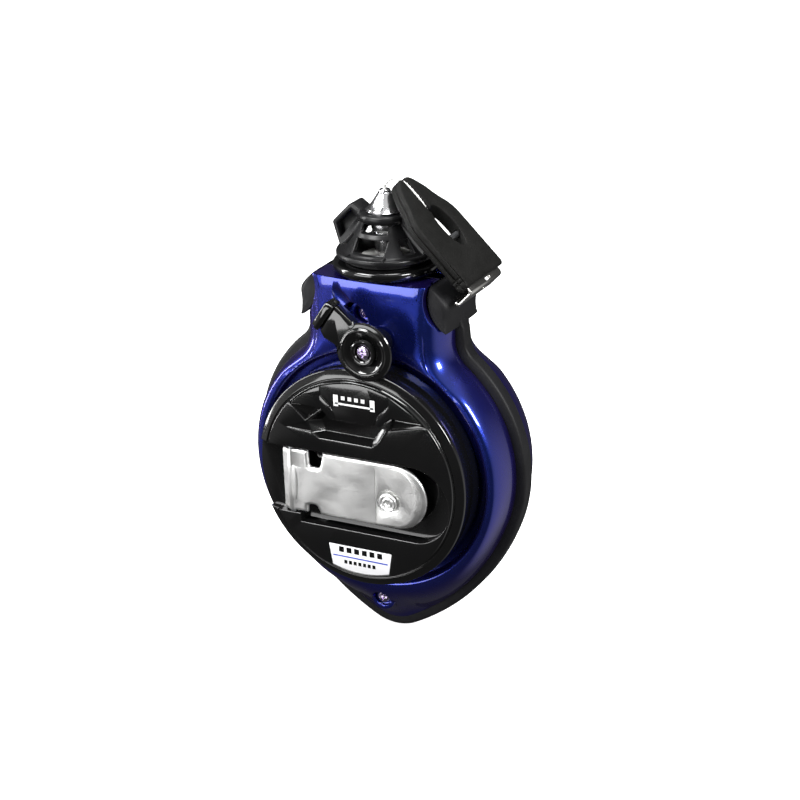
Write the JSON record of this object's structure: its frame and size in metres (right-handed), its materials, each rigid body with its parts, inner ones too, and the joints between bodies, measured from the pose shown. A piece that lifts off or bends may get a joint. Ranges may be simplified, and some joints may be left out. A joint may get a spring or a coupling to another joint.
{
  "type": "chalk line reel",
  "caption": "Teardrop hand reel for marking line: two metal shells with a rubber edge band, geared fold-out crank dial, lock lever, caged nozzle and a lean-over end hook.",
  "frame": {"origin": "centre of the flat round face on the back of the case", "axes": "+Y out of the back face (the crank is on -Y), +Z along the reel from its pointed lower end to the nozzle, +X to the right as seen from the crank side"},
  "size_m": [0.1074, 0.052, 0.172],
  "materials": {
    "shell_blue": "glossy metallic royal blue lacquer",
    "band": "matt black elastomer",
    "resin": "natural gear resin",
    "steel": "ground steel",
    "bright_steel": "bright stamped steel",
    "screw": "bright plated, faint violet tint",
    "chalked_line": "wound line dusted with blue chalk",
    "bronze": "sintered bronze",
    "gloss_black": "polished black",
    "black_resin": "satin black",
    "label": "white film with a blue stripe",
    "aluminium": "turned and polished",
    "felt": "pressed felt",
    "hook_black": "fine textured black",
    "line": "white twisted line"
  },
  "bodies": {
    "case": {"front_shell": "shell_blue", "rear_shell": "shell_blue", "side_band": "band", "ring_gear": "resin", "axle": "steel", "dial_screw": "screw", "housing_screw_upper": "screw", "housing_screw_lower": "screw", "neck_collar": "gloss_black", "neck_gasket": "band", "nozzle_cage": "gloss_black", "nozzle_tip": "aluminium", "felt_wiper": "felt"},
    "dial": {"crank_dial": "gloss_black", "carrier_plate": "resin", "carrier_screw_1": "screw", "carrier_screw_2": "screw", "carrier_screw_3": "screw", "planet_pin_1": "steel", "planet_pin_2": "steel", "planet_pin_3": "steel", "dial_bush": "bronze", "emblem_plate": "gloss_black", "dial_label": "label", "arm_hinge_pin": "steel"},
    "planet_1": {"planet_gear_1": "resin"},
    "planet_2": {"planet_gear_2": "resin"},
    "planet_3": {"planet_gear_3": "resin"},
    "spool": {"line_spool": "resin", "spool_side_plate": "resin", "line_winding": "chalked_line", "sun_gear": "resin", "spool_bush": "bronze"},
    "crank": {"crank_arm": "bright_steel", "knob_rivet": "bright_steel"},
    "knob": {"crank_knob": "black_resin"},
    "lever": {"lock_lever": "gloss_black", "lever_sleeve": "gloss_black", "lever_screw": "screw", "lock_pawl": "steel"},
    "line": {"snap_line": "line"},
    "hook": {"hook_body": "hook_black", "hook_claw": "bright_steel", "line_anchor_pin": "steel", "hook_line": "line"}
  },
  "joints": [
    {"name": "dial_spin", "type": "hinge", "parent": "case", "child": "dial", "pos_m": [0, -0.02, 0], "axis": [0, 1, 0], "continuous": true},
    {"name": "spool_spin", "type": "hinge", "parent": "case", "child": "spool", "pos_m": [0, -0.02, 0], "axis": [0, 1, 0], "continuous": true},
    {"name": "planet_spin_1", "type": "hinge", "parent": "dial", "child": "planet_1", "pos_m": [0, -0.02, 0.0165], "axis": [0, 1, 0], "continuous": true},
    {"name": "planet_spin_2", "type": "hinge", "parent": "dial", "child": "planet_2", "pos_m": [-0.01429, -0.02, -0.00825], "axis": [0, 1, 0], "continuous": true},
    {"name": "planet_spin_3", "type": "hinge", "parent": "dial", "child": "planet_3", "pos_m": [0.01429, -0.02, -0.00825], "axis": [0, 1, 0], "continuous": true},
    {"name": "crank_fold", "type": "hinge", "parent": "dial", "child": "crank", "pos_m": [-0.0274, -0.0466, 0], "axis": [0, 0, -1], "range_deg": [0, 145]},
    {"name": "knob_spin", "type": "hinge", "parent": "crank", "child": "knob", "pos_m": [0.012, -0.04, -0.0062], "axis": [0, 1, 0], "continuous": true},
    {"name": "lever_turn", "type": "hinge", "parent": "case", "child": "lever", "pos_m": [0.0055, -0.04, 0.0496], "axis": [0, 1, 0], "range_deg": [0, 50]},
    {"name": "line_pull", "type": "slide", "parent": "case", "child": "line", "axis": [0, 0, 1], "range_m": [0, 0.03]},
    {"name": "hook_swing", "type": "hinge", "parent": "line", "child": "hook", "pos_m": [0.0072, -0.02, 0.1032], "axis": [0, -1, 0], "range_deg": [0, 60]}
  ],
  "couplings": [
    {"joint": "spool_spin", "follows": "dial_spin", "ratio": 4},
    {"joint": "planet_spin_1", "follows": "dial_spin", "ratio": -3},
    {"joint": "planet_spin_2", "follows": "dial_spin", "ratio": -3},
    {"joint": "planet_spin_3", "follows": "dial_spin", "ratio": -3}
  ]
}
